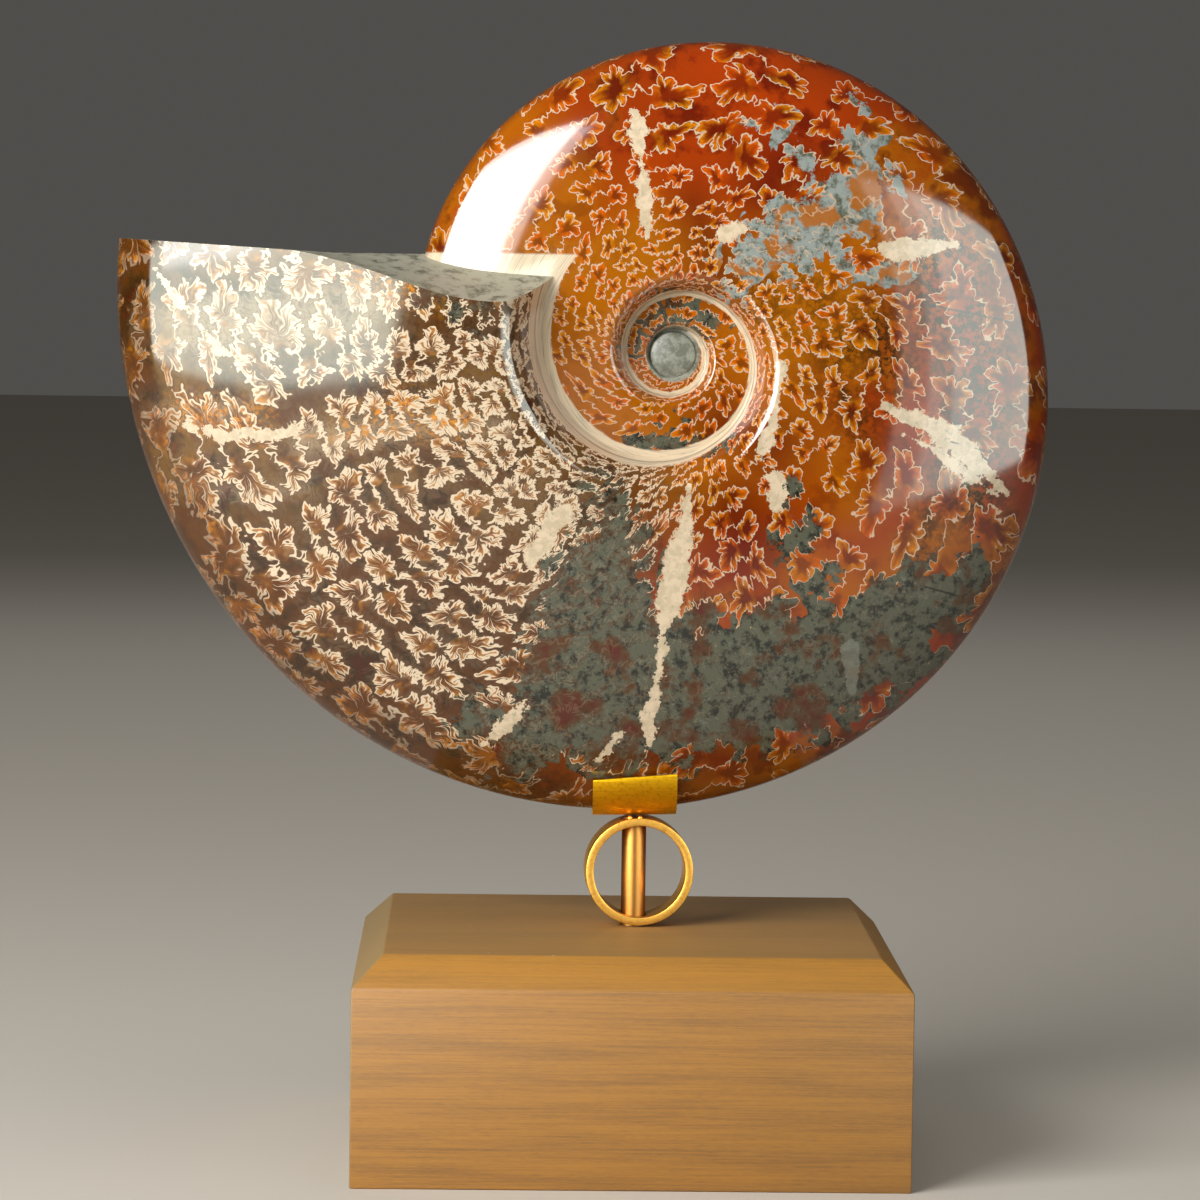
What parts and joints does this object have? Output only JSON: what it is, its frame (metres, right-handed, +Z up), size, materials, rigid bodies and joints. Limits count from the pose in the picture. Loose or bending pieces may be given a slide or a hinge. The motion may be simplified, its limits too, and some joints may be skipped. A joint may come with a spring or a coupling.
{
  "type": "ammonite fossil on a stand",
  "caption": "Polished ammonite standing upright in a brass saddle, carried by a brass ring and post on a wood block with chamfered top edges.",
  "frame": {"origin": "centre of the block's underside", "axes": "+Z up, +X to the right and +Y away from a viewer who faces the fossil's front flank"},
  "size_m": [0.155, 0.082, 0.1847],
  "materials": {
    "fossil": "high polish over amber and cream calcite",
    "brass": "fine satin, warm gold",
    "wood": "sanded, thin matt oil"
  },
  "bodies": {
    "root": {"ammonite": "fossil", "saddle": "brass", "ring": "brass", "post": "brass", "block": "wood"}
  },
  "joints": []
}
